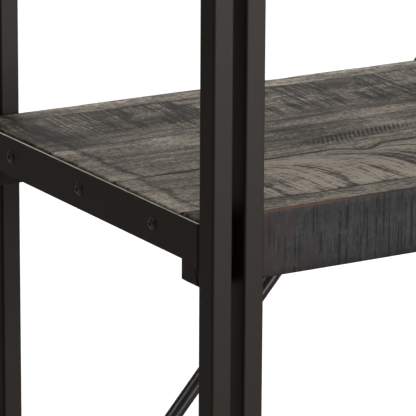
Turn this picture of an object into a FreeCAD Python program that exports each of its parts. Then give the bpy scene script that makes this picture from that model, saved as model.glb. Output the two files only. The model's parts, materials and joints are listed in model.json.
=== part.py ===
"""Open bookcase: four pairs of slim steel tubes, five rough timber shelves in clamped steel end brackets.

Millimetres. +X runs along the shelves, +Y to the back, +Z up. The origin is on the floor under the middle.
Every shelf is three planks between a front and a back lip. A bracket closes each end and reaches in behind
the posts, where a split lug in the slot between two tubes is spread by a cone screw and grips both of them.
"""
import FreeCAD
import Part
import Sketcher
import math
import os

SIZES = {
    # overall
    "total_width": 1000,
    "total_height": 1800,
    # post tubes, two side by side at each corner
    "tube_across": 17.4,
    "tube_deep": 20.8,
    "tube_wall": 1.5,
    "tube_round": 2,
    "post_pitch": 27.7,
    "foot_high": 5,
    "cap_high": 2,
    "plug_deep": 14,
    "plug_round": 1.4,
    "spacer_high": 16,
    "spacer_lift": 12,
    # timber
    "shelf_deep": 364,
    "plank_thick": 34,
    "plank_count": 3,
    "lip_high": 53.5,
    "lip_thick": 26,
    # end brackets
    "plate_thick": 3,
    "plate_high": 32.5,
    "plate_drop": 2,
    "flare_drop": 5,
    "flare_long": 12,
    "flare_round": 18,
    "flange_long": 43,
    "bend_round": 2.5,
    "slide_gap": 0.5,
    # the three bolts of each bracket
    "bolt_spacing": 116,
    "bolt_round": 3,
    "bolt_hole": 3.2,
    "bolt_long": 38,
    "head_round": 5.25,
    "head_high": 1.9,
    "key_round": 1.9,
    "key_deep": 1.1,
    # clamp lugs and their cone screws
    "lug_across": 9.7,
    "lug_deep": 6,
    "lug_high": 26,
    "slit": 1,
    "cone_round": 4,
    "cone_deep": 2.2,
    "screw_round": 2.5,
    "screw_hole": 2.6,
    "screw_long": 24,
    # crossed brace behind the shelves
    "brace_round": 6.8,
    "brace_offset": 4.5,
    "brace_low": 82,
    "brace_rise": 1001,
    "brace_lap": 30,
    "tang_thick": 4,
    "tang_half": 7,
    "tang_long": 34,
    "tab_thick": 3,
    "tab_long": 22,
    "tab_high": 26,
    "tab_hole": 14,
    "nut_across": 10,
    "nut_high": 4.5,
}
SHELF_TOPS = {"bottom": 120, "lower": 540, "middle": 935, "upper": 1340, "top": 1745}
SIDES = {"left": -1, "right": 1}
ENDS = {"front": -1, "back": 1}

X_AXIS, Y_AXIS, Z_AXIS = FreeCAD.Vector(1, 0, 0), FreeCAD.Vector(0, 1, 0), FreeCAD.Vector(0, 0, 1)

doc = FreeCAD.newDocument("bookcase")
sheet = doc.addObject("Spreadsheet::Sheet", "sizes")
pieces = []


def fill_sheet():
    """Write every driving size to the sheet, with its alias."""
    rows = dict(SIZES, **{name + "_shelf_top": height for name, height in SHELF_TOPS.items()})
    for row, (alias, value) in enumerate(rows.items(), start=1):
        sheet.set("A%d" % row, alias)
        sheet.set("B%d" % row, str(value))
        sheet.setAlias("B%d" % row, alias)
    doc.recompute()


def size(alias):
    return float(getattr(sheet, alias))


def place(x=0.0, y=0.0, z=0.0, axis=Z_AXIS, turn=0.0):
    return FreeCAD.Placement(FreeCAD.Vector(x, y, z), FreeCAD.Rotation(axis, turn))


def keep(thing, label, placement=None):
    """Name a finished sub-part, place it and list it for export."""
    thing.Label = label
    if placement is not None:
        thing.Placement = placement
    pieces.append(thing)
    return thing


def bind(thing, **sizes_of):
    """Bind properties of an object to expressions in the sheet's aliases, written with a leading #."""
    for name, text in sizes_of.items():
        thing.setExpression(name, text.replace("#", "sizes."))


def feature(body, kind, name, placement=None, **sizes_of):
    """Add one primitive feature to a body, bound to the sheet."""
    made = body.newObject("PartDesign::" + kind, name)
    if placement is not None:
        made.Placement = placement
    bind(made, **sizes_of)
    made.recompute()
    return made


def solid(kind, name, placement=None, **sizes_of):
    """Add one Part primitive to the document, bound to the sheet."""
    made = doc.addObject("Part::" + kind, name)
    if placement is not None:
        made.Placement = placement
    bind(made, **sizes_of)
    return made


def edges_where(shape, test):
    return ["Edge%d" % number for number, edge in enumerate(shape.Edges, start=1) if test(edge)]


def runs_along(axis):
    """A test for straight edges parallel to an axis."""
    def test(edge):
        way = edge.Vertexes[-1].Point - edge.Vertexes[0].Point
        return way.Length > 1e-6 and abs(abs(way.normalize().dot(axis)) - 1) < 1e-9
    return test


def outline_sketch(body, plane_role, corners, name):
    """Sketch a closed straight-sided outline whose corners are pairs of sheet expressions."""
    sketch = body.newObject("Sketcher::SketchObject", name)
    plane = next(item for item in body.Origin.OriginFeatures if item.Role == plane_role)
    sketch.AttachmentSupport = [(plane, "")]
    sketch.MapMode = "FlatFace"
    points = [FreeCAD.Vector(evaluate(across), evaluate(up), 0) for across, up in corners]
    count = len(points)
    for number in range(count):
        sketch.addGeometry(Part.LineSegment(points[number], points[(number + 1) % count]))
    for number in range(count):
        sketch.addConstraint(Sketcher.Constraint("Coincident", number, 2, (number + 1) % count, 1))
        for kind, value, text in (
            ("DistanceX", points[number].x, corners[number][0]),
            ("DistanceY", points[number].y, corners[number][1]),
        ):
            index = sketch.addConstraint(Sketcher.Constraint(kind, -1, 1, number, 1, value))
            sketch.setExpression("Constraints[%d]" % index, text.replace("#", "sizes."))
    sketch.recompute()
    return sketch


def evaluate(text):
    """The present value of a sheet expression."""
    return float(sheet.evalExpression(text.replace("#", "")))


def solid_of(profile):
    """Turn an (radius, height) outline about the Z axis into a solid."""
    points = [FreeCAD.Vector(radius, 0, height) for radius, height in profile]
    face = Part.Face(Part.makePolygon(points + points[:1]))
    return face.revolve(FreeCAD.Vector(0, 0, 0), Z_AXIS, 360)


def group(label, shape, placements):
    """One sub-part that holds the same fastener at several places."""
    thing = doc.addObject("Part::Feature", label)
    thing.Shape = Part.makeCompound([shape.transformed(spot.toMatrix(), True) for spot in placements])
    return keep(thing, label, place())


# ---- posts -------------------------------------------------------------------------------------------

def post_x(side, row):
    """Centre of a tube: row 0 is the outer tube of the pair, row 1 the inner one."""
    return side * (size("total_width") / 2 - size("tube_across") / 2 - row * size("post_pitch"))


def post_y(end):
    return end * (size("shelf_deep") / 2 + size("plate_thick") + size("slide_gap") + size("tube_deep") / 2)


def make_post(label, spot):
    """A rectangular tube with round corners, standing on its foot and closed by its cap."""
    body = doc.addObject("PartDesign::Body", label)
    tall = "#total_height - #foot_high - #cap_high"
    block = feature(body, "AdditiveBox", label + "_block",
                    place(-size("tube_across") / 2, -size("tube_deep") / 2),
                    Length="#tube_across", Width="#tube_deep", Height=tall)
    rounding = body.newObject("PartDesign::Fillet", label + "_corners")
    rounding.Base = (block, edges_where(block.Shape, runs_along(Z_AXIS)))
    bind(rounding, Radius="#tube_round")
    rounding.recompute()
    wall = size("tube_wall")
    feature(body, "SubtractiveBox", label + "_bore",
            place(wall - size("tube_across") / 2, wall - size("tube_deep") / 2),
            Length="#tube_across - 2 * #tube_wall", Width="#tube_deep - 2 * #tube_wall", Height=tall)
    keep(body, label, spot)


def make_plug(head_high):
    """A moulded plug for a tube's end: its head has the tube's outline and lies below the shank."""
    across, deep = size("tube_across"), size("tube_deep")
    wall, depth = size("tube_wall"), size("plug_deep")
    head = Part.makeBox(across, deep, head_high, FreeCAD.Vector(-across / 2, -deep / 2, -head_high))
    upright = [edge for edge in head.Edges if runs_along(Z_AXIS)(edge)]
    head = head.makeFillet(size("tube_round"), upright)
    shank = Part.makeBox(across - 2 * wall, deep - 2 * wall, depth,
                         FreeCAD.Vector(wall - across / 2, wall - deep / 2, 0))
    lead = size("plug_round")
    rim = [edge for edge in shank.Edges if edge.BoundBox.ZMin > depth - 1e-6]
    return head.fuse(shank.makeChamfer(lead, rim)).removeSplitter()


def make_posts():
    spots = [(post_x(side, row), post_y(end)) for side in SIDES.values() for end in ENDS.values()
             for row in (0, 1)]
    for side_name, side in SIDES.items():
        for end_name, end in ENDS.items():
            for row, row_name in enumerate(("outer", "inner")):
                label = "%s_%s_%s_post" % (end_name, side_name, row_name)
                make_post(label, place(post_x(side, row), post_y(end), size("foot_high")))
    foot, cap = make_plug(size("foot_high")), make_plug(size("cap_high"))
    cap_base = size("total_height") - size("cap_high")
    group("foot_glides", foot, [place(x, y, size("foot_high")) for x, y in spots])
    group("post_caps", cap, [place(x, y, cap_base, X_AXIS, 180) for x, y in spots])
    make_spacers()


def make_spacers():
    """Short blocks that are welded into the slot of each pair, near its foot and near its cap."""
    gap = size("post_pitch") - size("tube_across")
    deep = size("tube_deep") - 2 * size("tube_round")
    tall = size("spacer_high")
    block = Part.makeBox(gap, deep, tall, FreeCAD.Vector(-gap / 2, -deep / 2, 0))
    levels = (size("foot_high") + size("spacer_lift"),
              size("total_height") - size("cap_high") - size("spacer_lift") - tall)
    group("post_spacers", block,
          [place((post_x(side, 0) + post_x(side, 1)) / 2, post_y(end), level)
           for side in SIDES.values() for end in ENDS.values() for level in levels])


# ---- shelves -----------------------------------------------------------------------------------------

def timber(label, corner, bores, **sizes_of):
    """A sawn board with round holes bored into it."""
    board = solid("Box", label + "_board", place(*corner), **sizes_of)
    tools = []
    for number, (spot, radius, depth) in enumerate(bores):
        tools.append(solid("Cylinder", "%s_bore_%d" % (label, number), spot, Radius=radius, Height=depth))
    cut = doc.addObject("Part::Cut", label)
    joined = doc.addObject("Part::MultiFuse", label + "_bores")
    joined.Shapes = tools
    cut.Base, cut.Tool = board, joined
    return cut


def make_planks(name, top):
    """The planks between the lips, each with one bolt hole in either end."""
    label = name + "_shelf_planks"
    end_x = size("total_width") / 2 - size("plate_thick")
    deep = "(#shelf_deep - 2 * #lip_thick) / #plank_count"
    bolt_z = top - size("plate_drop") - size("plate_high") / 2
    count = int(size("plank_count"))
    planks = []
    for number in range(count):
        front_y = size("lip_thick") - size("shelf_deep") / 2 + number * evaluate(deep)
        bolt_y = (number - (count - 1) / 2) * size("bolt_spacing")
        bores = [(place(side * end_x, bolt_y, bolt_z, Y_AXIS, -90 * side),
                  "#bolt_hole", "#bolt_long + 4") for side in SIDES.values()]
        planks.append(timber("%s_%d" % (label, number),
                             (-end_x, front_y, top - size("plank_thick")), bores,
                             Length="#total_width - 2 * #plate_thick", Width=deep, Height="#plank_thick"))
    shelf = doc.addObject("Part::Compound", label)
    shelf.Links = planks
    keep(shelf, label)


def clamp_spots(top):
    """Where each clamp screw starts, at the flange's outer face, as (placement, side, end)."""
    height = top - size("plate_drop") - size("plate_high") / 2
    start = size("shelf_deep") / 2 + size("plate_thick")
    spots = []
    for side in SIDES.values():
        slot_x = (post_x(side, 0) + post_x(side, 1)) / 2
        for end in ENDS.values():
            spots.append(place(slot_x, end * start, height, X_AXIS, -90 * end))
    return spots


def make_lip(name, end_name, end, top):
    """The deep board along one long edge, with a pilot hole for the clamp screw near either end."""
    label = "%s_%s_lip" % (name, end_name)
    end_x = size("total_width") / 2 - size("plate_thick")
    near_y = min(end * size("shelf_deep") / 2, end * (size("shelf_deep") / 2 - size("lip_thick")))
    height = top - size("plate_drop") - size("plate_high") / 2
    bores = [(place((post_x(side, 0) + post_x(side, 1)) / 2, end * size("shelf_deep") / 2, height,
                    X_AXIS, 90 * end), "#screw_hole", "#screw_long - #lug_deep") for side in SIDES.values()]
    keep(timber(label, (-end_x, near_y, top - size("lip_high")), bores,
                Length="#total_width - 2 * #plate_thick", Width="#lip_thick", Height="#lip_high"), label)


def make_bracket(label, spot):
    """A side plate that flares down at both ends, with a flange behind each pair of posts."""
    body = doc.addObject("PartDesign::Body", label)
    half = "(#shelf_deep / 2 + #plate_thick)"
    corners = [("-" + half, "0"), (half, "0"), (half, "-(#plate_high + #flare_drop)"),
               (half + " - #flare_long", "-#plate_high"), ("-" + half + " + #flare_long", "-#plate_high"),
               ("-" + half, "-(#plate_high + #flare_drop)")]
    plate = body.newObject("PartDesign::Pad", label + "_plate")
    plate.Profile = outline_sketch(body, "YZ_Plane", corners, label + "_outline")
    bind(plate, Length="#plate_thick")
    plate.recompute()
    kink_y = size("shelf_deep") / 2 + size("plate_thick") - size("flare_long")
    flares = body.newObject("PartDesign::Fillet", label + "_flares")
    flares.Base = (plate, edges_where(plate.Shape, lambda edge: runs_along(X_AXIS)(edge)
                                      and abs(abs(edge.CenterOfMass.y) - kink_y) < 1e-6))
    bind(flares, Radius="#flare_round")
    flares.recompute()
    drop = size("plate_high") + size("flare_drop")
    for end_name, end in ENDS.items():
        outer = end * (size("shelf_deep") / 2 + size("plate_thick"))
        inner = end * size("shelf_deep") / 2
        flange = feature(body, "AdditiveBox", "%s_%s_flange" % (label, end_name),
                         place(0, min(outer, inner), -drop),
                         Length="#flange_long", Width="#plate_thick", Height="#plate_high + #flare_drop")
    bends = body.newObject("PartDesign::Fillet", label + "_bends")
    bends.Base = (flange, edges_where(flange.Shape, lambda edge: runs_along(Z_AXIS)(edge)
                                      and abs(edge.CenterOfMass.x) < 1e-6
                                      and abs(abs(edge.CenterOfMass.y) - abs(outer)) < 1e-6))
    bind(bends, Radius="#bend_round")
    bends.recompute()
    bolt_z = -size("plate_high") / 2
    for number in (-1, 0, 1):
        feature(body, "SubtractiveCylinder", "%s_bolt_hole_%d" % (label, number + 1),
                place(-1, number * size("bolt_spacing"), bolt_z, Y_AXIS, 90),
                Radius="#bolt_hole", Height="#plate_thick + 2")
    slot_x = size("total_width") / 2 - abs(post_x(1, 0) + post_x(1, 1)) / 2
    for end_name, end in ENDS.items():
        feature(body, "SubtractiveCylinder", "%s_%s_screw_hole" % (label, end_name),
                place(slot_x, end * (size("shelf_deep") / 2 - 1), bolt_z, X_AXIS, -90 * end),
                Radius="#screw_hole", Height="#plate_thick + 2")
    keep(body, label, spot)


def make_bolt():
    """A wood bolt with a low domed head and a six-sided key socket. Its shank runs down from Z 0."""
    wide, high, shank = size("head_round"), size("head_high"), size("bolt_round")
    long = size("bolt_long") + size("plate_thick")
    dome = Part.Arc(FreeCAD.Vector(wide, 0, 0.2 * high), FreeCAD.Vector(0.8 * wide, 0, 0.68 * high),
                    FreeCAD.Vector(0.42 * wide, 0, high)).toShape()
    corners = [(0.42 * wide, high), (0, high), (0, -long), (0.35 * shank, -long), (shank, -long + 6),
               (shank, 0), (wide, 0), (wide, 0.2 * high)]
    rest = Part.makePolygon([FreeCAD.Vector(radius, 0, height) for radius, height in corners])
    head = Part.Face(Part.Wire([dome] + rest.Edges)).revolve(FreeCAD.Vector(0, 0, 0), Z_AXIS, 360)
    socket = hexagon(size("key_round"), size("key_deep"))
    socket.translate(FreeCAD.Vector(0, 0, high - size("key_deep")))
    return head.cut(socket)


def hexagon(corner_round, high):
    """A six-sided prism that stands on Z 0."""
    turns = [math.radians(60 * number) for number in range(6)]
    points = [FreeCAD.Vector(corner_round * math.cos(turn), corner_round * math.sin(turn), 0)
              for turn in turns]
    return Part.Face(Part.makePolygon(points + points[:1])).extrude(FreeCAD.Vector(0, 0, high))


def make_lug():
    """A block with chamfered corners, a countersunk hole and a saw slit, whose back is on Z 0."""
    across, deep, high = size("lug_across"), size("lug_deep"), size("lug_high")
    block = Part.makeBox(across, high, deep, FreeCAD.Vector(-across / 2, -high / 2, 0))
    block = block.makeChamfer(1.2, [edge for edge in block.Edges if runs_along(Z_AXIS)(edge)])
    hole = solid_of([(0, -1), (size("screw_hole"), -1), (size("screw_hole"), deep - size("cone_deep")),
                     (size("cone_round") + 0.1, deep), (size("cone_round") + 0.1, deep + 1),
                     (0, deep + 1)])
    slit = Part.makeBox(size("slit"), high, deep, FreeCAD.Vector(-size("slit") / 2, -high / 2, 1.5))
    return block.cut(hole).cut(slit)


def make_cone_screw():
    """A countersunk screw whose head is flush with the lug, running down from the lug's face."""
    deep, long = size("lug_deep"), size("screw_long")
    profile = [(0, deep), (size("cone_round"), deep), (size("screw_round"), deep - size("cone_deep")),
               (size("screw_round"), deep - long + 4), (0.3, deep - long), (0, deep - long)]
    socket = hexagon(size("key_round"), size("key_deep"))
    socket.translate(FreeCAD.Vector(0, 0, deep - size("key_deep")))
    return solid_of(profile).cut(socket)


def make_shelf(name):
    top = size(name + "_shelf_top")
    bracket_top = top - size("plate_drop")
    half_width = size("total_width") / 2
    make_planks(name, top)
    for end_name, end in ENDS.items():
        make_lip(name, end_name, end, top)
    for side_name, side in SIDES.items():
        make_bracket("%s_%s_bracket" % (name, side_name),
                     place(side * half_width, 0, bracket_top, Z_AXIS, 90 * (side + 1)))
    bolt_z = bracket_top - size("plate_high") / 2
    group(name + "_shelf_bolts", make_bolt(),
          [place(side * half_width, number * size("bolt_spacing"), bolt_z, Y_AXIS, 90 * side)
           for side in SIDES.values() for number in (-1, 0, 1)])
    group(name + "_clamp_lugs", make_lug(), clamp_spots(top))
    group(name + "_clamp_screws", make_cone_screw(), clamp_spots(top))


# ---- crossed brace -----------------------------------------------------------------------------------

def brace_ends():
    """Bolt centres of a brace bar, measured from the middle of the cross."""
    across = size("total_width") / 2 - size("tube_across") - size("post_pitch") - size("tab_hole")
    return across, size("brace_rise") / 2


def make_brace_bar(label, lean, offset):
    """A round bar along X, leaned about Y, with a flat tang at both ends and a flat in the middle.

    The flat lies where the other bar crosses, so that the two lap face to face between the posts' faces.
    """
    across, rise = brace_ends()
    reach = math.hypot(across, rise)
    tang = size("tang_long")
    rod = solid("Cylinder", label + "_rod", place(tang - reach, 0, 0, Y_AXIS, 90), Radius="#brace_round")
    rod.Height = 2 * (reach - tang)
    shapes = [rod]
    lap = solid("Box", label + "_lap",
                place(-size("brace_lap") / 2, -offset if offset < 0 else -offset - size("brace_round"),
                      -size("brace_round")),
                Length="#brace_lap", Width="#brace_round", Height="2 * #brace_round")
    tools = [lap, solid("Cylinder", label + "_rivet_hole", place(0, 15, 0, X_AXIS, 90),
                        Radius="#bolt_hole", Height="30")]
    for side_name, side in SIDES.items():
        low_x = min(side * reach, side * (reach - tang - 8))
        plate = solid("Box", "%s_%s_tang" % (label, side_name),
                      place(low_x, -size("tang_thick") / 2, -size("tang_half")),
                      Length="#tang_long + 8", Width="#tang_thick", Height="2 * #tang_half")
        nose = solid("Cylinder", "%s_%s_nose" % (label, side_name),
                     place(side * reach, size("tang_thick") / 2, 0, X_AXIS, 90),
                     Radius="#tang_half", Height="#tang_thick")
        shapes += [plate, nose]
        tools.append(solid("Cylinder", "%s_%s_eye" % (label, side_name),
                           place(side * reach, 15, 0, X_AXIS, 90), Radius="#bolt_hole", Height="30"))
    whole = doc.addObject("Part::MultiFuse", label + "_whole")
    whole.Shapes = shapes
    holes = doc.addObject("Part::MultiFuse", label + "_holes")
    holes.Shapes = tools
    bar = doc.addObject("Part::Cut", label)
    bar.Base, bar.Tool = whole, holes
    middle = size("brace_low") + rise
    angle = -lean * math.degrees(math.atan2(rise, across))
    keep(bar, label, place(0, post_y(1) + offset, middle, Y_AXIS, angle))


def make_brace():
    """Two bars that cross behind the shelves, their tabs and bolts, and the rivet between them."""
    across, rise = brace_ends()
    offset, tab_thick = size("brace_offset"), size("tab_thick")
    tang_face = offset - size("tang_thick") / 2
    low, high = size("brace_low"), size("brace_low") + 2 * rise
    corners = []
    for lean, plane in ((1, -1), (-1, 1)):
        label = "rising_brace_bar" if lean == 1 else "falling_brace_bar"
        make_brace_bar(label, lean, plane * offset)
        for side in SIDES.values():
            corners.append((side, plane, low if side * lean < 0 else high))
    tabs, fasteners = [], []
    long, tall = size("tab_long"), size("tab_high")
    bolt = short_bolt(size("tang_thick") + tab_thick + size("nut_high") + 1)
    nut = hexagon(size("nut_across") / math.sqrt(3), size("nut_high"))
    nut = nut.cut(Part.makeCylinder(size("bolt_round"), 20, FreeCAD.Vector(0, 0, -5)))
    for side, plane, height in corners:
        post_face = side * (across + size("tab_hole"))
        near_y = post_y(1) + (plane * (tang_face - tab_thick) if plane > 0 else -tang_face)
        tab = Part.makeBox(long, tab_thick, tall,
                           FreeCAD.Vector(min(post_face, post_face - side * long), near_y, height - tall / 2))
        inner = [edge for edge in tab.Edges if runs_along(Y_AXIS)(edge)
                 and abs(edge.CenterOfMass.x - (post_face - side * long)) < 1e-6]
        eye = Part.makeCylinder(size("bolt_hole"), 40,
                                FreeCAD.Vector(side * across, post_y(1) - 20, height), Y_AXIS)
        tabs.append(tab.makeFillet(6, inner).cut(eye))
        outward = place(side * across, post_y(1) + plane * (offset + size("tang_thick") / 2), height,
                        X_AXIS, -90 * plane)
        inward = place(side * across, post_y(1) + plane * (tang_face - tab_thick), height,
                       X_AXIS, 90 * plane)
        fasteners.append(bolt.transformed(outward.toMatrix(), True))
        fasteners.append(nut.transformed(inward.toMatrix(), True))
    for label, shapes in (("brace_tabs", tabs), ("brace_bolts", fasteners)):
        thing = doc.addObject("Part::Feature", label)
        thing.Shape = Part.makeCompound(shapes)
        keep(thing, label, place())
    make_brace_rivet(low + rise)


def short_bolt(long):
    """A bolt with a low domed head, for the brace. Its shank runs down from Z 0."""
    wide, high, shank = size("head_round"), size("head_high"), size("bolt_round")
    profile = [(0, high), (0.55 * wide, high), (0.85 * wide, 0.7 * high), (wide, 0.25 * high), (wide, 0),
               (shank, 0), (shank, 0.6 - long), (shank - 0.6, -long), (0, -long)]
    socket = hexagon(size("key_round"), size("key_deep"))
    socket.translate(FreeCAD.Vector(0, 0, high - size("key_deep")))
    return solid_of(profile).cut(socket)


def make_brace_rivet(height):
    """A pin through both bars where they cross, flush with their outer sides."""
    reach = size("brace_offset") + size("brace_round")
    rivet = solid("Cylinder", "brace_rivet", Radius="#bolt_round", Height="2 * (#brace_offset + #brace_round)")
    keep(rivet, "brace_rivet", place(0, post_y(1) + reach, height, X_AXIS, 90))


# ---- check and export --------------------------------------------------------------------------------

def check_document():
    for thing in doc.Objects:
        if {"Invalid", "Error"} & set(thing.State):
            raise RuntimeError("%s failed: %s" % (thing.Label, thing.State))
    for piece in pieces:
        if piece.Shape.isNull() or not piece.Shape.isValid() or not piece.Shape.Solids:
            raise RuntimeError("%s has no valid solid" % piece.Label)


def write_pieces():
    os.makedirs("parts", exist_ok=True)
    for piece in pieces:
        piece.Shape.exportStep(os.path.join("parts", piece.Label + ".step"))
        box = piece.Shape.BoundBox
        print("%-28s %2d solids %9.1f cm3  x %7.1f %7.1f  y %7.1f %7.1f  z %7.1f %7.1f" % (
            piece.Label, len(piece.Shape.Solids), piece.Shape.Volume / 1000,
            box.XMin, box.XMax, box.YMin, box.YMax, box.ZMin, box.ZMax))
    print(len(pieces), "sub-parts")


fill_sheet()
make_posts()
for shelf_name in SHELF_TOPS:
    make_shelf(shelf_name)
make_brace()
doc.recompute()
check_document()
write_pieces()
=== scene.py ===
"""Looks of the bookcase: rough-sawn stained timber shelves, powder-coated steel, studio light and camera.

Metres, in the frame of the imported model: +X along the shelves, +Y to the back, +Z up.
"""

import json
import math

import bpy
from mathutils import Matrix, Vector, noise


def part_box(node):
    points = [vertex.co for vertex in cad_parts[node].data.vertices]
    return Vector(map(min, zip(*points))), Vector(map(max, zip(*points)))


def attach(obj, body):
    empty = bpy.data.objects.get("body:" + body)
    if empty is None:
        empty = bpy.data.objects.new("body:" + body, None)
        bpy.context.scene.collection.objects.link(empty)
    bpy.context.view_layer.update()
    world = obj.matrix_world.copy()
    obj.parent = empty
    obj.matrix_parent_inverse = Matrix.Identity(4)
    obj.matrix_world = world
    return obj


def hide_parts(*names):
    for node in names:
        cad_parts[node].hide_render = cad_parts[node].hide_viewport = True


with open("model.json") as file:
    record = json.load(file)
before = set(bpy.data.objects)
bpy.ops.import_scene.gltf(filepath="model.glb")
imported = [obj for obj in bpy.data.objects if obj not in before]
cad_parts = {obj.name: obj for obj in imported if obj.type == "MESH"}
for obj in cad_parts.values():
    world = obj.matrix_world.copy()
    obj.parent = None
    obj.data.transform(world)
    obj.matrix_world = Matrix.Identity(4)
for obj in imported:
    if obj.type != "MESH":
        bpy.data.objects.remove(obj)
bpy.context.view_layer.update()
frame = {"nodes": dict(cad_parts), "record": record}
RECORD = frame["record"]
MM = 0.001

SHELVES = ("bottom", "lower", "middle", "upper", "top")
NODE_BODY = {node: body for body, nodes in RECORD["behaviour"]["bodies"].items() for node in nodes}
NODE_SLOT = {part["node"]: part["material_slot"] for part in RECORD["subparts"]}


def srgb(red, green, blue):
    """Linear colour of an 8-bit display colour."""
    def linear(value):
        value /= 255
        return value / 12.92 if value <= 0.04045 else ((value + 0.055) / 1.055) ** 2.4
    return (linear(red), linear(green), linear(blue), 1.0)


# ---- node helpers ------------------------------------------------------------------------------------

class Shader:
    """A material under construction: short calls that add nodes and link them."""

    def __init__(self, name):
        self.material = bpy.data.materials.new(name)
        self.material.use_nodes = True
        self.tree = self.material.node_tree
        self.tree.nodes.clear()
        self.output = self.tree.nodes.new("ShaderNodeOutputMaterial")
        self.surface = self.tree.nodes.new("ShaderNodeBsdfPrincipled")
        self.link(self.surface.outputs[0], self.output.inputs["Surface"])
        coordinates = self.tree.nodes.new("ShaderNodeTexCoord")
        self.place = coordinates.outputs["Object"]
        self.facing = coordinates.outputs["Normal"]

    def link(self, source, target):
        self.tree.links.new(source, target)

    def feed(self, socket, value):
        """Give a socket a number, a colour or another node's output."""
        if isinstance(value, bpy.types.NodeSocket):
            self.link(value, socket)
        else:
            socket.default_value = value

    def math(self, kind, *values):
        node = self.tree.nodes.new("ShaderNodeMath")
        node.operation = kind
        for socket, value in zip(node.inputs, values):
            self.feed(socket, value)
        return node.outputs[0]

    def total(self, base, *terms):
        """A base plus every (value, weight)."""
        for value, weight in terms:
            base = self.math("MULTIPLY_ADD", value, weight, base)
        return base

    def product(self, first, *others):
        for other in others:
            first = self.math("MULTIPLY", first, other)
        return first

    def less(self, value):
        """A noise about its middle."""
        return self.math("SUBTRACT", value, 0.5)

    def noise(self, source, detail, rough):
        node = self.tree.nodes.new("ShaderNodeTexNoise")
        self.link(source, node.inputs["Vector"])
        node.inputs["Scale"].default_value = 1.0
        node.inputs["Detail"].default_value = detail
        node.inputs["Roughness"].default_value = rough
        return node.outputs["Fac"]

    def grit(self, scale, detail, rough):
        """Noise over the object, with its scale along each axis per metre."""
        node = self.tree.nodes.new("ShaderNodeMapping")
        self.link(self.place, node.inputs["Vector"])
        node.inputs["Scale"].default_value = scale
        return self.noise(node.outputs[0], detail, rough)

    def ramp(self, value, *stops):
        """Remap a value: each stop is (position, grey level or colour)."""
        node = self.tree.nodes.new("ShaderNodeValToRGB")
        elements = node.color_ramp.elements
        while len(elements) < len(stops):
            elements.new(0.5)
        for element, (position, level) in zip(elements, stops):
            element.position = position
            element.color = (level, level, level, 1) if isinstance(level, (int, float)) else level
        self.link(value, node.inputs["Fac"])
        return node.outputs["Color"]

    def mix(self, factor, first, second):
        node = self.tree.nodes.new("ShaderNodeMix")
        node.data_type = "RGBA"
        self.feed(node.inputs["Factor"], factor)
        self.feed(node.inputs["A"], first)
        self.feed(node.inputs["B"], second)
        return node.outputs["Result"]

    def split(self, vector):
        node = self.tree.nodes.new("ShaderNodeSeparateXYZ")
        self.link(vector, node.inputs[0])
        return node.outputs

    def join(self, x, y, z):
        node = self.tree.nodes.new("ShaderNodeCombineXYZ")
        for socket, value in zip(node.inputs, (x, y, z)):
            self.feed(socket, value)
        return node.outputs[0]

    def carried(self, name):
        """The three values of a vector that the mesh carries."""
        node = self.tree.nodes.new("ShaderNodeAttribute")
        node.attribute_name = name
        return self.split(node.outputs["Vector"])

    def bump(self, height, strength, distance):
        node = self.tree.nodes.new("ShaderNodeBump")
        node.inputs["Strength"].default_value = strength
        node.inputs["Distance"].default_value = distance
        self.link(height, node.inputs["Height"])
        self.link(node.outputs[0], self.surface.inputs["Normal"])

    def finish(self, color, roughness, specular):
        self.feed(self.surface.inputs["Base Color"], color)
        self.feed(self.surface.inputs["Roughness"], roughness)
        self.surface.inputs["Specular IOR Level"].default_value = specular
        return self.material


def brighter(color, gain):
    return tuple(channel * gain for channel in color[:3]) + (1.0,)


# ---- steel and plastic -------------------------------------------------------------------------------

# the side plates' outer faces, and how wide and how soft the painted highlight along their upper edge is
HALF_WIDE = 500 * MM
GLINT_WIDE = 1.8 * MM
GLINT_SOFT = 0.4 * MM


def edge_glint_mask(shader):
    """Where a painted highlight lies on the upper outside edge of a side plate: on faces that look up, broken
    by noise.
    """
    rub_and_glint = shader.grit((160, 40, 160), 3, 0.6)
    aside = shader.math("ABSOLUTE", shader.split(shader.place)[0])
    outside = shader.math("DIVIDE", shader.math("SUBTRACT", aside, HALF_WIDE - GLINT_WIDE), GLINT_SOFT)
    return shader.product(shader.ramp(shader.split(shader.facing)[2], (0.50, 0.0), (0.90, 1.0)),
                          shader.ramp(outside, (0.0, 0.0), (1.0, 1.0)),
                          shader.ramp(rub_and_glint, (0.32, 0.55), (0.50, 1.0)))


def powder_coat(name, light, dark, gloss, specular, edge_glint_color=None):
    """Satin brown-black coat: fine orange peel, faint drawn streaks under it and a few duller patches.

    The last argument is the colour of a painted highlight along the upper outside edge of the side plates.
    """
    shader = Shader(name)
    cloud = shader.grit((9, 9, 3), 4, 0.6)
    streak = shader.grit((420, 420, 1.2), 2, 0.5)
    tone = shader.total(0.0, (cloud, 0.6), (streak, 0.4))
    color = shader.mix(shader.ramp(tone, (0.36, 0.0), (0.64, 1.0)), dark, light)
    # painted highlight along the side plates' top edge, where they would catch the bright surround
    if edge_glint_color is not None:
        color = shader.mix(edge_glint_mask(shader), color, edge_glint_color)
    peel = shader.grit((1100, 1100, 1100), 2, 0.5)
    fleck = shader.grit((260, 260, 260), 3, 0.6)
    shader.bump(shader.total(peel, (fleck, 0.7)), 0.12, 0.06 * MM)
    return shader.finish(color, shader.total(gloss - 0.08, (cloud, 0.16)), specular)


def black_paint(name, color, gloss, specular):
    """Semi-gloss paint with brush-soft bumps and tiny dull specks."""
    shader = Shader(name)
    cloud = shader.grit((60, 60, 60), 4, 0.6)
    speck = shader.grit((900, 900, 900), 2, 0.5)
    tint = shader.mix(shader.ramp(cloud, (0.35, 0.0), (0.7, 1.0)), color, brighter(color, 1.35))
    shader.bump(shader.math("ADD", speck, cloud), 0.1, 0.08 * MM)
    return shader.finish(tint, shader.total(gloss - 0.05, (cloud, 0.12)), specular)


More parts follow.
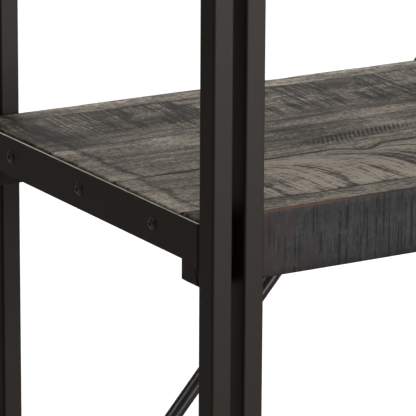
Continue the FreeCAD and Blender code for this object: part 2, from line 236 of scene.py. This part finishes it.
def moulded_plastic(name, color):
    """Fine-textured black moulding."""
    shader = Shader(name)
    grit = shader.grit((1500, 1500, 1500), 2, 0.6)
    cloud = shader.grit((50, 50, 50), 3, 0.5)
    shader.bump(grit, 0.25, 0.05 * MM)
    return shader.finish(shader.mix(cloud, color, brighter(color, 1.5)), shader.total(0.5, (grit, 0.15)), 0.4)


# ---- timber ------------------------------------------------------------------------------------------

# lengths here are in millimetres, as in the values that the boards carry
PLANK_WIDE = 104.0
# step between the noises of a board
LAYER_STEP = 3.7
# how far from an end its wear and the painted shade beside the posts reach
END_FAR = 200.0
END_NEAR = 100.0
# where the pale rubbed end stops, and the width of the dark line there
RUBBED_LONG = 21.0
RUBBED_LINE = 10.0
# how far the combed lines turn along the board, and how suddenly
COMB_TURN = 90.0
COMB_SHARP = 6.0
# the row of chatter marks: its place from the plank's front, its slope, width and length
CHATTER_ROW = 24.0
CHATTER_RISE = 0.17
CHATTER_WIDE = 16.0
CHATTER_LONG = 125.0
# how much of the stain in the joints and of the wear on the edges shows
COVER = 0.85


class Timber(Shader):
    """Rough-sawn board under a stain rubbed through in places. Broad tops carry its marks on a tone painted
    light for the reflection of the bright surround, and upright faces are charcoal.

    Its mesh carries, in millimetres, the place on the board and the distance from its nearer end, and for
    each board a seed, how far it is saw-marked, combed and faded, and where its chatter starts.
    """

    def __init__(self, name):
        super().__init__(name)
        self.along, self.over, self.up = self.carried("place")
        self.seed, self.sawn, self.comb = self.carried("board")
        self.chatter_start, self.broad, self.seam = self.carried("detail")
        self.edge, self.from_end, self.fade = self.carried("wear")
        self.across = self.math("ADD", self.over, self.up)
        waver = self.layer(1, self.along, 0.005, self.across, 0.012, 2)
        self.ripple = self.layer(2, self.along, 0.02, self.across, 0.05, 2)
        self.grain = self.total(self.across, (waver, 34), (self.ripple, 9))
        self.fibre = self.layer(3, self.along, 0.032, self.grain, 0.30, 5, 0.7)
        self.speck = self.layer(5, self.along, 0.26, self.grain, 0.30, 5, 0.78)
        self.patch = self.layer(6, self.along, 0.012, self.across, 0.02, 3)
        # the figure is quieter near the ends
        self.calm = self.ramp(self.share(self.from_end, END_FAR), (0.25, 0.4), (0.75, 1.0))
        self.inward = self.total(self.from_end, (self.less(waver), 26), (self.less(self.ripple), 14))
        self.relief = [(self.fibre, 0.5), (self.speck, 0.35)]

    def layer(self, number, first, first_scale, second, second_scale, detail, rough=0.6):
        """Noise stretched along the board's two directions, different on every board."""
        return self.noise(self.join(self.math("MULTIPLY", first, first_scale),
                                    self.math("MULTIPLY", second, second_scale),
                                    self.math("ADD", self.seed, LAYER_STEP * number)), detail, rough)

    def share(self, value, length):
        """A distance as a share of a length."""
        return self.math("DIVIDE", value, length)

    def fibres(self):
        """Fibres, bands and specks of the grain, cloudy patches and short dark pores."""
        band = self.layer(4, self.along, 0.006, self.grain, 0.08, 3)
        pore = self.layer(18, self.along, 0.085, self.grain, 0.42, 3, 0.6)
        pores = self.product(self.ramp(pore, (0.57, 0.0), (0.63, 1.0)),
                             self.ramp(self.patch, (0.40, 0.4), (0.58, 1.0)), self.calm)
        return [(self.product(self.less(self.fibre), self.calm), 1.5), (self.less(band), 0.8),
                (self.less(self.speck), 1.9), (self.less(self.patch), 1.25), (pores, -0.30)]

    def saw_marks(self):
        """Marks across the board, in groups that fade towards its front, and nicks between them."""
        slant = self.total(self.along, (self.across, -0.06), (self.ripple, 4))
        stroke = self.layer(7, slant, 0.115, self.across, 0.011, 2)
        teeth = self.layer(8, slant, 0.40, self.across, 0.012, 4, 0.7)
        group = self.layer(9, self.along, 0.022, self.across, 0.014, 2)
        rearward = self.total(self.share(self.over, PLANK_WIDE), (self.ripple, 0.25))
        marks = self.ramp(self.total(0.0, (stroke, 0.3), (teeth, 0.7)), (0.475, 0.0), (0.525, 1.0))
        saw = self.product(marks, self.ramp(group, (0.41, 0.0), (0.49, 1.0)),
                           self.ramp(rearward, (0.22, 0.0), (0.50, 1.0)), self.sawn, self.calm)
        nicks = self.product(self.ramp(teeth, (0.54, 0.0), (0.62, 1.0)),
                             self.ramp(self.patch, (0.44, 0.2), (0.6, 1.0)))
        self.relief.append((saw, -0.7))
        return [(saw, -0.60), (nicks, -0.16)]

    def combed_figure(self):
        """Lines that leave the back joint almost along it and turn across the board."""
        rise = self.math("MINIMUM", self.share(self.over, PLANK_WIDE), 1.0)
        turned = self.math("POWER", rise, COMB_SHARP)
        lean = self.total(self.along, (turned, COMB_TURN), (self.ripple, 5))
        rake = self.layer(10, lean, 0.13, rise, 1.1, 3, 0.6)
        hair = self.layer(11, lean, 0.60, rise, 1.6, 3, 0.65)
        past_end = self.ramp(self.share(self.from_end, END_FAR), (0.22, 0.1), (0.40, 1.0))
        combed = self.product(past_end, self.comb)
        rakes = self.product(self.ramp(rake, (0.54, 0.0), (0.59, 1.0)), combed)
        pale = self.product(self.ramp(rake, (0.37, 1.0), (0.48, 0.0)), combed)
        self.relief.append((rakes, -0.5))
        return [(rakes, -0.50), (pale, 0.2), (self.product(self.less(hair), combed), 3.0)]

    def chatter(self):
        """A row of short ticks that the planer left."""
        beyond = self.math("SUBTRACT", self.along, self.chatter_start)
        row = self.total(CHATTER_ROW, (beyond, CHATTER_RISE))
        aside = self.math("ABSOLUTE", self.math("SUBTRACT", self.over, row))
        wave = self.math("SINE", self.total(0.0, (self.along, 1.42), (self.over, -0.80), (self.ripple, 3.0)))
        ticks = self.product(self.ramp(wave, (0.05, 0.0), (0.55, 1.0)),
                             self.ramp(self.share(aside, CHATTER_WIDE), (0.25, 1.0), (0.65, 0.0)),
                             self.ramp(self.share(beyond, CHATTER_LONG),
                                       (0.0, 0.0), (0.2, 1.0), (0.75, 1.0), (1.0, 0.0)))
        self.relief.append((ticks, -0.6))
        return [(ticks, -0.5)]

    def end_wear(self, post_shade):
        """Ends rubbed pale up to a darker line, painted shade next to the posts, and a bleached middle."""
        rubbed = self.ramp(self.share(self.inward, END_NEAR), (0.12, 1.0), (0.22, 0.0))
        from_line = self.math("ABSOLUTE", self.math("SUBTRACT", self.inward, RUBBED_LONG))
        line = self.product(self.ramp(self.share(from_line, RUBBED_LINE), (0.0, 1.0), (0.45, 0.0)),
                            self.ramp(self.patch, (0.36, 0.2), (0.50, 1.0)))
        near = self.total(self.share(self.from_end, END_NEAR), (self.less(self.patch), 0.5))
        # painted shade: the top darkened beside the posts, where they shade it
        painted_post_shade = self.ramp(near, (0.25, 1.0), (0.60, 0.0))
        inner = self.ramp(self.share(self.from_end, END_FAR), (0.3, 0.35), (0.6, 1.0))
        return [(self.product(inner, self.fade), 1.0), (rubbed, 0.16), (line, -0.34),
                (painted_post_shade, -post_shade), (self.product(painted_post_shade, self.sawn), -0.25)]

    def top(self, stain, post_shade):
        """A top's tone, painted light for the reflection of the bright surround, with everything that marks
        it and painted shade next to the posts.
        """
        tone = self.total(0.56, *self.fibres(), *self.saw_marks(), *self.combed_figure(), *self.chatter(),
                          *self.end_wear(post_shade))
        return self.ramp(tone, *stain)

    def face(self, tones, brown):
        """Charcoal: fine upright lines, a few thin dark cuts, soft blots, and brown near the ends."""
        fine = self.layer(12, self.along, 0.42, self.up, 0.05, 5, 0.72)
        wander = self.layer(13, self.along, 0.30, self.up, 0.003, 2, 0.5)
        broken = self.layer(14, self.along, 0.09, self.up, 0.035, 3, 0.7)
        cut = self.product(self.ramp(wander, (0.555, 0.0), (0.59, 1.0)),
                           self.ramp(broken, (0.44, 0.0), (0.52, 1.0)))
        blot = self.ramp(self.layer(15, self.along, 0.16, self.up, 0.045, 4, 0.7), (0.58, 0.0), (0.66, 1.0))
        tone = self.total(0.54, (self.less(fine), 1.2), (self.less(self.patch), 1.2), (cut, -0.70),
                          (blot, -0.38), (self.less(self.speck), 1.1))
        near = self.total(self.share(self.from_end, END_NEAR), (self.less(broken), 1.6))
        rust = self.layer(16, self.along, 0.17, self.up, 0.02, 4)
        rusty = self.product(self.ramp(near, (0.55, 1.0), (1.0, 0.0)),
                             self.ramp(rust, (0.36, 0.0), (0.50, 1.0)),
                             self.ramp(fine, (0.40, 0.35), (0.58, 1.0)))
        self.relief += [(cut, -0.6), (fine, 0.3)]
        return self.mix(rusty, self.ramp(tone, *tones), brown)

    def stained_joint(self, color, dark):
        """Joints keep dark stain in places."""
        broken = self.layer(17, self.along, 0.02, self.over, 0.0, 3)
        joint = self.ramp(self.total(self.seam, (self.less(broken), 1.5)), (0.50, 0.0), (0.80, 1.0))
        return self.mix(self.math("MULTIPLY", joint, COVER), color, dark)

    def rubbed_edge(self, color, dark, rubbed):
        """Outer edges are dark, and rubbed near the ends."""
        rim = self.ramp(self.edge, (0.80, 0.0), (1.0, 1.0))
        near = self.total(self.share(self.from_end, END_FAR), (self.less(self.patch), 1.3))
        rub_and_glint = self.ramp(near, (0.5, 1.0), (0.9, 0.0))
        return self.mix(self.math("MULTIPLY", rim, COVER), color, self.mix(rub_and_glint, dark, rubbed))


def timber_with_painted_light(name, stain, face_tones, dark, brown, rubbed, post_shade):
    """The material of planks or lips, with tops painted light for the reflection of the bright surround. The
    last argument is how much painted shade darkens the top next to the posts.
    """
    wood = Timber(name)
    top = wood.top(stain, post_shade)
    # painted reflection: tops take the light tones and upright faces the charcoal ones, though both are one
    # wood
    color = wood.mix(wood.broad, wood.face(face_tones, brown), top)
    color = wood.rubbed_edge(wood.stained_joint(color, dark), dark, rubbed)
    wood.bump(wood.total(0.0, *wood.relief), 0.5, 0.5 * MM)
    return wood.finish(color, wood.total(0.42, (wood.fibre, 0.2), (wood.speck, 0.12)), 0.3)


# ---- meshes of the boards ----------------------------------------------------------------------------

# how round a board's long edges and ends are
OUTER_ROUND = 1.3 * MM
JOINT_ROUND = 0.35 * MM
END_ROUND = 0.7 * MM
LIP_END_ROUND = 2.6 * MM
# spacing of the mesh along a board and around it
STATION = 6 * MM
SECTION_STEP = 5 * MM
ROUND_STEPS = 4
# how far up a surface has to look before it starts to be a top, and how much more makes it wholly one; tops
# take the tones painted light for the reflection of the bright surround
BROAD_FROM = 0.4
BROAD_SPAN = 0.5


def spaced(length, step, fine):
    """Stations from 0 to length: packed towards both ends, where the board is rounded."""
    near = [0.0, 0.25 * fine, 0.6 * fine, fine, 2 * fine]
    count = max(2, round((length - 4 * fine) / step))
    middle = [2 * fine + (length - 4 * fine) * number / count for number in range(1, count)]
    return near + middle + [length - value for value in reversed(near)]


def ring_of(half_wide, half_high, joints):
    """Outline of a board's section: (y, z, outward direction, at an outer edge, at a joint).

    joints holds the sides, -1 or 1, on which the board's top edge meets another board.
    """
    corners = ((1, -1), (1, 1), (-1, 1), (-1, -1))

    def joined(side, rise):
        return rise > 0 and side in joints

    def outline(side, rise, turn):
        radius = JOINT_ROUND if joined(side, rise) else OUTER_ROUND
        out = Vector((0, math.cos(turn), math.sin(turn)))
        return side * (half_wide - radius) + radius * out.y, rise * (half_high - radius) + radius * out.z, out

    points = []
    for number, (side, rise) in enumerate(corners):
        start = math.atan2(rise, side) - math.pi / 4
        at_joint = float(joined(side, rise))
        at_edge = float(rise > 0 and not at_joint)
        for part in range(ROUND_STEPS + 1):
            y, z, out = outline(side, rise, start + part * math.pi / (2 * ROUND_STEPS))
            points.append((y, z, out, at_edge, at_joint))
        after = corners[(number + 1) % 4]
        last = points[-1]
        next_y, next_z, _ = outline(after[0], after[1], start + math.pi / 2)
        span = math.hypot(next_y - last[0], next_z - last[1])
        count = max(2, round(span / SECTION_STEP))
        for part in range(1, count):
            share = part / count
            points.append((last[0] + (next_y - last[0]) * share, last[1] + (next_z - last[1]) * share,
                           last[2], 0.0, 0.0))
    return points


# how a joint wanders: waves per metre, how far from the joint the boards follow it, and its dip at a knot
SWAY_WAVES = 9
SWAY_FINE_WAVES = 31
SWAY_FADE = 26 * MM
KNOT_DIP = 14 * MM
KNOT_WIDE = 16 * MM
FIGURE_WIDE = 260 * MM
# a board's faces and the chips on its edges: waves per metre along, across and up, and depths in millimetres
FACE_WAVES = (14, 30, 30)
CHIP_WAVES = (34, 9, 9)
FACE_SINK = 0.16
FACE_ROUGH = 0.35
EDGE_CHIP = 0.5
JOINT_CHIP = 0.3


def joint_sway(x, seed, reach, knot):
    """How far a joint wanders sideways at a place along the boards: it dips to the front at a knot."""
    coarse = noise.noise(Vector((x * SWAY_WAVES, seed, 0)))
    sway = reach * (coarse + 0.5 * noise.noise(Vector((x * SWAY_FINE_WAVES, seed, 4))))
    if knot is not None:
        sway -= KNOT_DIP * math.exp(-((x - knot) / KNOT_WIDE) ** 2)
    return sway


def waving(spot, waves, *shifts):
    """Where in a noise a spot on a board lies."""
    return Vector([value * wave + shift for value, wave, shift in zip(spot, waves, shifts)])


def worn_depth(spot, seed, facing, sharp):
    """How deep a sawn face or a chipped edge lies under the board's outline."""
    face = waving(spot, FACE_WAVES, seed * 7.3, seed, 0)
    ripple = noise.noise(face) * 0.30 + noise.noise(face * 3.1) * 0.12
    chip = max(0.0, noise.noise(waving(spot, CHIP_WAVES, seed * 3, 0, 0)))
    return ((FACE_SINK + FACE_ROUGH * ripple) * facing + chip * sharp) * MM


def end_inset(near_end, end_round):
    """How far a rounded end draws the outline in, at a distance from that end."""
    if near_end >= end_round:
        return 0.0
    return end_round - math.sqrt(end_round ** 2 - (end_round - near_end) ** 2)


def broadness(out):
    """1 on a top, down to 0 on an upright face or an underside."""
    return max(0.0, min(1.0, (out.z - BROAD_FROM) / BROAD_SPAN))


class Boards:
    """Sawn boards of one node, gathered into a single mesh.

    Each vertex carries four vectors. place is its place on the board. board is a seed, how saw-marked and how
    combed. detail is where the chatter starts, how far the face is a top, and a joint's stain. wear is 1 at
    an outer edge, the distance from the nearer end, and how faded. Lengths in them are in millimetres.
    """

    def __init__(self):
        self.verts, self.faces = [], []
        self.layers = {"place": [], "board": [], "detail": [], "wear": []}

    def put(self, spot, place, board, detail, wear):
        self.verts.append(spot)
        for values, value in zip(self.layers.values(), (place, board, detail, wear)):
            values.extend(value)

    def add(self, low, high, seed, sways, character, end_round=END_ROUND):
        """One board between two corners.

        sways holds, for each side that meets another board, the joint's stain, seed, reach and knot, and
        character how far the board is saw-marked, combed and faded, and where its chatter starts.
        """
        sawn, comb, fade, chatter_start = character
        knot = next((sway[3] for sway in sways.values() if sway[3] is not None), 0.0)
        joints = tuple(sways)
        middle, half = (low + high) / 2, (high - low) / 2
        length = high.x - low.x
        ring = ring_of(half.y, half.z, joints)
        stations = spaced(length, STATION, end_round)
        first, count = len(self.verts), len(ring)
        for station in stations:
            near_end = min(station, length - station)
            inset = end_inset(near_end, end_round)
            figure = comb * math.exp(-((station - knot) / FIGURE_WIDE) ** 2)
            sway = {side: joint_sway(station, *sways[side][1:]) for side in joints}
            for y, z, out, at_edge, at_joint in ring:
                spot = Vector((low.x + station, middle.y + y, middle.z + z))
                sharp = EDGE_CHIP * at_edge + JOINT_CHIP * at_joint
                cut = inset + worn_depth(spot, seed, abs(out.z), sharp)
                side = 1 if y > 0 else -1
                stain = at_joint * sways[side][0] if at_joint else 0.0
                moved = spot - Vector((0.0, 0.0 if side in joints else out.y, out.z)) * cut
                if half.z + z > 2 * JOINT_ROUND:
                    for joined, shift in sway.items():
                        moved.y += shift * max(0.0, 1 - (half.y - joined * y) / SWAY_FADE)
                self.put(moved, ((spot.x - low.x) / MM, (spot.y - low.y) / MM, (spot.z - low.z) / MM),
                         (seed, sawn, figure), (chatter_start, broadness(out), stain),
                         (at_edge, near_end / MM, fade))
        self.stitch(first, len(stations), count)
        for row, x in ((0, low.x), (len(stations) - 1, high.x)):
            self.put(Vector((x, middle.y, middle.z)), ((x - low.x) / MM, half.y / MM, half.z / MM),
                     (seed, sawn, comb), (chatter_start, 0.0, 0.0), (0.0, 0.0, fade))
            self.close(first + row * count, count, row == 0)

    def stitch(self, first, rows, count):
        """Faces between the sections, each of which is a row of vertices."""
        for row in range(rows - 1):
            for number in range(count):
                here, beside = first + row * count + number, first + row * count + (number + 1) % count
                self.faces.append((here, beside, beside + count, here + count))

    def close(self, base, count, flip):
        """A fan over one end, from its section to the last vertex put."""
        hub = len(self.verts) - 1
        for number in range(count):
            pair = (base + number, base + (number + 1) % count)
            self.faces.append((hub, pair[1], pair[0]) if flip else (hub, pair[0], pair[1]))

    def piece(self, name, node, material):
        """Make the object that stands for the node."""
        mesh = bpy.data.meshes.new(name)
        mesh.from_pydata(self.verts, [], self.faces)
        for label, values in self.layers.items():
            mesh.attributes.new(label, "FLOAT_VECTOR", "POINT").data.foreach_set("vector", values)
        mesh.shade_smooth()
        mesh.materials.append(material)
        piece = bpy.data.objects.new(name, mesh)
        bpy.context.collection.objects.link(piece)
        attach(piece, NODE_BODY[node])
        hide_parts(node)


# farther along, in millimetres, than any board is long
NO_CHATTER = 2000
# how far each plank of a shelf is saw-marked, combed and faded, and where its chatter starts, front to back
PLANK_CHARACTERS = {
    "bottom": ((0.9, 0.0, 0.0, NO_CHATTER), (0.0, 0.9, 0.1, NO_CHATTER), (0.2, 0.0, 0.03, 420)),
    "lower": ((0.0, 1.0, 0.37, NO_CHATTER), (0.05, 0.0, 0.09, 190), (1.0, 0.0, -0.05, NO_CHATTER)),
    "middle": ((0.1, 0.0, 0.05, 560), (0.0, 1.0, 0.15, NO_CHATTER), (0.9, 0.0, 0.0, NO_CHATTER)),
    "upper": ((1.0, 0.0, 0.05, NO_CHATTER), (0.0, 0.9, 0.1, NO_CHATTER), (0.1, 0.0, 0.0, 300)),
    "top": ((0.2, 0.8, 0.1, NO_CHATTER), (1.0, 0.0, 0.0, NO_CHATTER), (0.1, 0.0, 0.08, 700)),
}
LIP_CHARACTERS = {"front": (0.0, 0.0, 0.12, NO_CHATTER), "back": (0.0, 0.0, 0.03, NO_CHATTER)}
# stain and sideways reach of the joints from front to back
JOINTS = ((0.84, 0.9 * MM), (1.0, 5.0 * MM), (0.66, 3.0 * MM), (0.74, 0.9 * MM))
# how far from the left end of each shelf the second joint passes a knot
KNOTS = {"bottom": 0.61, "lower": 0.228, "middle": 0.42, "upper": 0.79, "top": 0.33}
# tones of the tops, painted light for the reflection of the bright surround, and of the upright faces, from
# dark to light
TOP_TONES = ((0.0, srgb(22, 18, 12)), (0.22, srgb(60, 54, 44)), (0.44, srgb(100, 93, 81)),
         (0.66, srgb(136, 128, 116)), (0.86, srgb(172, 162, 148)), (1.0, srgb(202, 190, 174)))
FACE_TONES = ((0.0, srgb(6, 5, 5)), (0.5, srgb(34, 33, 34)), (1.0, srgb(62, 62, 65)))
# every board has its own seed, from its shelf's row and its place in the shelf
SHELF_SEED = 9.3
PLANK_SEED = 2.1
LIP_SEED = 7.7
JOINT_SEED = 5.1


def make_timber():
    """Three planks between two lips for every shelf."""
    # the last value of each call is how much painted shade darkens the top beside the posts
    planks = timber_with_painted_light("plank_with_painted_light", TOP_TONES, FACE_TONES, dark=srgb(30, 27, 24),
                              brown=srgb(60, 42, 36), rubbed=srgb(84, 62, 50), post_shade=0.04)
    lips = timber_with_painted_light("charcoal_lip", TOP_TONES, FACE_TONES, dark=srgb(30, 27, 25),
                            brown=srgb(52, 34, 28), rubbed=srgb(88, 54, 38), post_shade=0.34)
    for row, name in enumerate(SHELVES):
        node = name + "_shelf_planks"
        low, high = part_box(node)
        step = (high.y - low.y) / len(PLANK_CHARACTERS[name])
        joints = [(stained, row * JOINT_SEED + number, reach, KNOTS[name] if number == 1 else None)
                  for number, (stained, reach) in enumerate(JOINTS)]
        boards = Boards()
        for number, character in enumerate(PLANK_CHARACTERS[name]):
            boards.add(Vector((low.x, low.y + number * step, low.z)),
                       Vector((high.x, low.y + (number + 1) * step, high.z)),
                       SHELF_SEED * row + PLANK_SEED * number + 1,
                       {-1: joints[number], 1: joints[number + 1]}, character)
        boards.piece(name + "_planks_wood", node, planks)
        for end, side, number in (("front", 1, 0), ("back", -1, 3)):
            node = "%s_%s_lip" % (name, end)
            lip = Boards()
            lip.add(*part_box(node), SHELF_SEED * row + LIP_SEED + side, {side: joints[number]},
                    LIP_CHARACTERS[end], LIP_END_ROUND)
            lip.piece(node + "_wood", node, lips)


# ---- finishes of the CAD nodes -----------------------------------------------------------------------

def make_finishes():
    """Give every node that stays as the CAD made it the finish of its slot."""
    finishes = {
        "post_steel": powder_coat("post_coat", srgb(42, 35, 28), srgb(34, 28, 22), 0.44, 0.25),
        # the bracket coat carries a painted highlight along the side plates' top edge
        "bracket_steel": powder_coat("bracket_coat", srgb(38, 29, 17), srgb(31, 24, 13), 0.36, 0.22,
                                      edge_glint_color=srgb(240, 230, 218)),
        "brace_steel": black_paint("brace_paint", srgb(36, 34, 33), 0.26, 0.6),
        "bolt_steel": black_paint("bolt_paint", srgb(52, 44, 36), 0.22, 0.7),
        "screw_steel": black_paint("screw_finish", srgb(34, 32, 31), 0.4, 0.5),
        "lug_nylon": moulded_plastic("lug_moulding", srgb(26, 25, 24)),
        "cap_plastic": moulded_plastic("cap_moulding", srgb(38, 35, 33)),
        "glide_plastic": moulded_plastic("glide_moulding", srgb(36, 34, 33)),
    }
    for node, thing in frame["nodes"].items():
        material = finishes.get(NODE_SLOT[node])
        if material is not None:
            thing.data.materials.clear()
            thing.data.materials.append(material)


# ---- studio ------------------------------------------------------------------------------------------

# the camera's angles in degrees, its lens, and its place from the corner of post and shelf
AZIMUTH = 30.92
ELEVATION = 15.45
ROLL = 0.32
FOCAL_IN_FRAMES = 8.26
SENSOR = 36.0
CAMERA_AWAY = 2.558
CORNER_IN = 4.5 * MM
AIM_SIDE = 4.74 * MM
AIM_UP = 11.59 * MM
FAR_CLIP = 50

# each soft light's name, place, aim, size and power
LIGHTS = (
    ("front_soft_box", (1.7, -3.6, 1.1), (0, 0, 0.5), (3.0, 2.2), 120),
    ("top_soft_box", (0.3, 0.6, 4.2), (0, 0, 0.5), (2.6, 2.6), 110),
    ("left_strip_light", (-2.5, 0.25, 2.7), (-0.45, 0.2, 0.4), (1.5, 0.4), 12),
)
# the surround brightens from left to right
GLOW = (1, 0.985, 0.965, 1)
GLOW_SPAN = (-0.3, 0.7)
GLOW_STRENGTH = (0.06, 0.80)
FLOOR_REACH = 12.0
FLOOR_EMISSION = 0.62


def make_camera():
    """A long lens on the left front corner of the lower shelf, seen from the left and above."""
    turn, pitch = math.radians(AZIMUTH), math.radians(ELEVATION)
    right = Vector((math.cos(turn), -math.sin(turn), 0))
    ahead = Vector((math.sin(turn) * math.cos(pitch), math.cos(turn) * math.cos(pitch), -math.sin(pitch)))
    up = right.cross(ahead)
    post_low, post_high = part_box("front_left_outer_post")
    shelf_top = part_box("lower_shelf_planks")[1].z
    corner = Vector((post_low.x, post_high.y - CORNER_IN, shelf_top))
    data = bpy.data.cameras.new("camera")
    data.sensor_width = SENSOR
    data.lens = FOCAL_IN_FRAMES * SENSOR
    data.clip_end = FAR_CLIP
    camera = bpy.data.objects.new("camera", data)
    bpy.context.collection.objects.link(camera)
    camera.location = corner - ahead * CAMERA_AWAY + right * AIM_SIDE + up * AIM_UP
    camera.rotation_euler = ahead.to_track_quat("-Z", "Y").to_euler()
    camera.rotation_euler.rotate_axis("Z", math.radians(ROLL))
    bpy.context.scene.camera = camera


def area_light(name, place, target, size, power):
    data = bpy.data.lights.new(name, "AREA")
    data.shape = "RECTANGLE"
    data.size, data.size_y = size
    data.energy = power
    lamp = bpy.data.objects.new(name, data)
    bpy.context.collection.objects.link(lamp)
    lamp.location = place
    lamp.rotation_euler = (Vector(target) - Vector(place)).to_track_quat("-Z", "Y").to_euler()


def seen_or_lit(tree, seen, lit, surface):
    """Show one shader to the eye, and let the other one light the object."""
    path = tree.nodes.new("ShaderNodeLightPath")
    mixer = tree.nodes.new("ShaderNodeMixShader")
    tree.links.new(path.outputs["Is Camera Ray"], mixer.inputs[0])
    tree.links.new(lit, mixer.inputs[1])
    tree.links.new(seen, mixer.inputs[2])
    tree.links.new(mixer.outputs[0], surface)


def pale_floor():
    """Matt floor that looks white, and throws back less light than it seems to."""
    shader = Shader("pale_floor")
    soft = shader.grit((3, 3, 3), 3, 0.5)
    shader.finish(shader.mix(soft, (0.54, 0.54, 0.53, 1), (0.58, 0.58, 0.57, 1)), 0.8, 0.0)
    shader.surface.inputs["Emission Color"].default_value = (1, 1, 1, 1)
    shader.surface.inputs["Emission Strength"].default_value = FLOOR_EMISSION
    dull = shader.tree.nodes.new("ShaderNodeBsdfDiffuse")
    dull.inputs["Color"].default_value = (0.3, 0.29, 0.28, 1)
    seen_or_lit(shader.tree, shader.surface.outputs[0], dull.outputs[0], shader.output.inputs["Surface"])
    return shader.material


def make_surround():
    """A white surround for the eye, and a softer one for the light."""
    world = bpy.data.worlds.new("studio")
    bpy.context.scene.world = world
    world.use_nodes = True
    tree = world.node_tree
    tree.nodes.clear()
    output = tree.nodes.new("ShaderNodeOutputWorld")
    seen = tree.nodes.new("ShaderNodeBackground")
    seen.inputs["Color"].default_value = (1, 1, 1, 1)
    place = tree.nodes.new("ShaderNodeTexCoord")
    split = tree.nodes.new("ShaderNodeSeparateXYZ")
    tree.links.new(place.outputs["Generated"], split.inputs[0])
    side = tree.nodes.new("ShaderNodeMapRange")
    tree.links.new(split.outputs["X"], side.inputs["Value"])
    side.inputs["From Min"].default_value, side.inputs["From Max"].default_value = GLOW_SPAN
    side.inputs["To Min"].default_value, side.inputs["To Max"].default_value = GLOW_STRENGTH
    glow = tree.nodes.new("ShaderNodeBackground")
    glow.inputs["Color"].default_value = GLOW
    tree.links.new(side.outputs[0], glow.inputs["Strength"])
    seen_or_lit(tree, seen.outputs[0], glow.outputs[0], output.inputs["Surface"])


def make_studio():
    """The surround, three soft lights and a pale floor."""
    make_surround()
    for light in LIGHTS:
        area_light(*light)
    mesh = bpy.data.meshes.new("floor")
    reach = FLOOR_REACH
    mesh.from_pydata([(-reach, -reach, 0), (reach, -reach, 0), (reach, reach, 0), (-reach, reach, 0)], [],
                     [(0, 1, 2, 3)])
    floor = bpy.data.objects.new("floor", mesh)
    bpy.context.collection.objects.link(floor)
    mesh.materials.append(pale_floor())
    bpy.context.scene.view_settings.view_transform = "Standard"


make_camera()
make_studio()
make_finishes()
make_timber()
